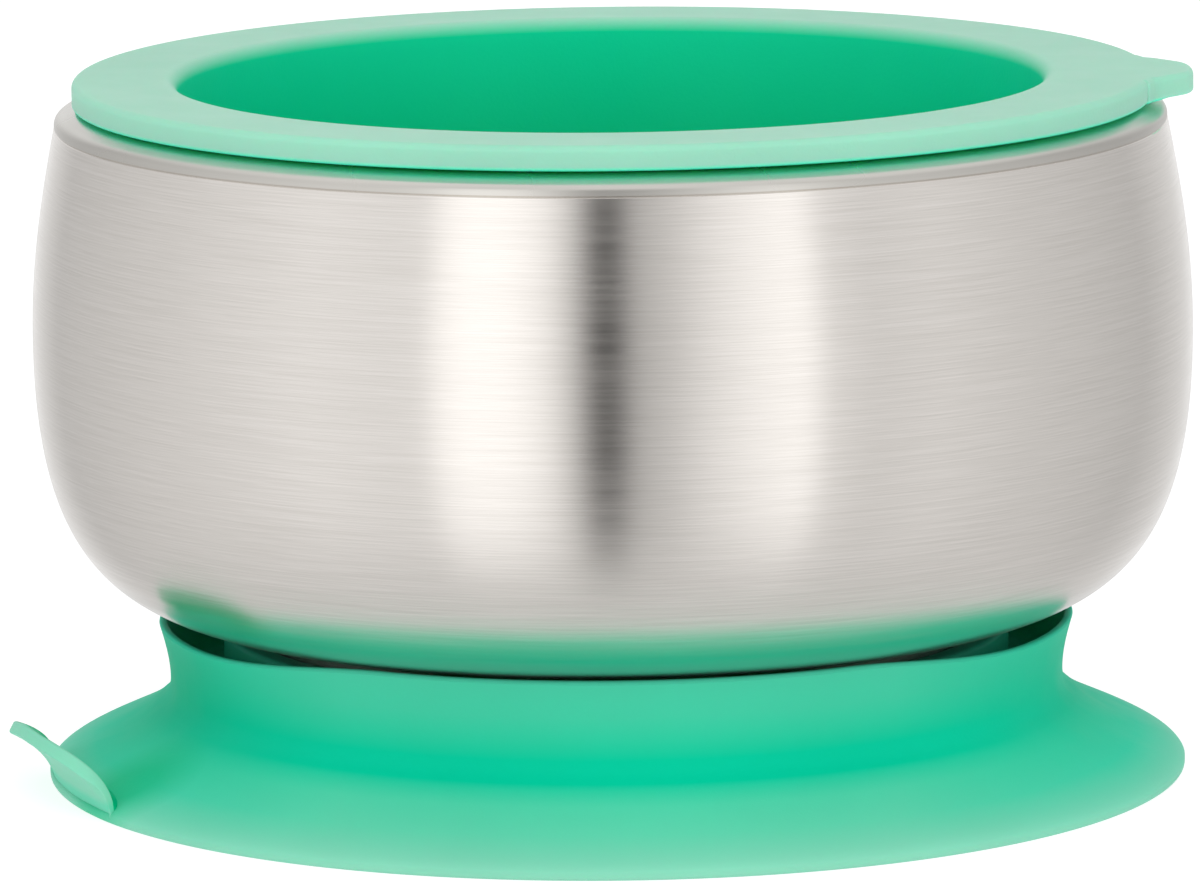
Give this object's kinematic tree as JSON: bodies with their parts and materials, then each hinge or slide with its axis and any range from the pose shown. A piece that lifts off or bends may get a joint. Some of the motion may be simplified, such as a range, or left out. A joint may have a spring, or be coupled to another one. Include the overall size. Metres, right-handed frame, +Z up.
{
  "type": "suction bowl",
  "caption": "Double-walled brushed steel baby bowl with a recessed silicone lid, standing in a flared silicone suction base with a peel tab.",
  "frame": {"origin": "on the table, on the bowl's own axis, at the middle of the suction ring", "axes": "+Z up along the bowl's axis; +X to the lid's pull tab; -Y is the front that the picture shows"},
  "size_m": [0.122, 0.12, 0.0726],
  "materials": {
    "base_silicone": "matt green silicone, paler where it is thin",
    "lid_silicone": "matt green silicone, slightly translucent",
    "brushed_steel": "brushed round the bowl in fine horizontal lines",
    "satin_steel": "smooth satin steel"
  },
  "bodies": {
    "suction_ring": {"suction_skirt": "base_silicone"},
    "peel_tab": {"release_tab": "base_silicone"},
    "seat": {"bowl_seat": "base_silicone"},
    "bowl": {"outer_shell": "brushed_steel", "bottom_cap": "satin_steel", "inner_liner": "satin_steel"},
    "lid": {"lid": "lid_silicone"},
    "lid_tab": {"lid_pull_tab": "lid_silicone"}
  },
  "joints": [
    {"name": "suction_press", "type": "slide", "parent": "suction_ring", "child": "seat", "axis": [0, 0, 1], "range_m": [-0.0025, 0], "stiffness_N_per_m": 3000, "springref_m": 0.003, "deforming": ["suction_skirt"]},
    {"name": "release_peel", "type": "hinge", "parent": "suction_ring", "child": "peel_tab", "pos_m": [-0.05647, -0.01566, 0.0015], "axis": [-0.2672, 0.9636, 0], "range_deg": [0, 50], "stiffness_Nm_per_rad": 0.01},
    {"name": "bowl_lift", "type": "slide", "parent": "seat", "child": "bowl", "axis": [0, 0, 1], "range_m": [0, 0.05]},
    {"name": "lid_lift", "type": "slide", "parent": "bowl", "child": "lid", "axis": [0, 0, 1], "range_m": [0, 0.06]},
    {"name": "lid_peel", "type": "hinge", "parent": "lid", "child": "lid_tab", "pos_m": [0.0558, 0, 0.0726], "axis": [0, -1, 0], "range_deg": [0, 60], "stiffness_Nm_per_rad": 0.01}
  ]
}
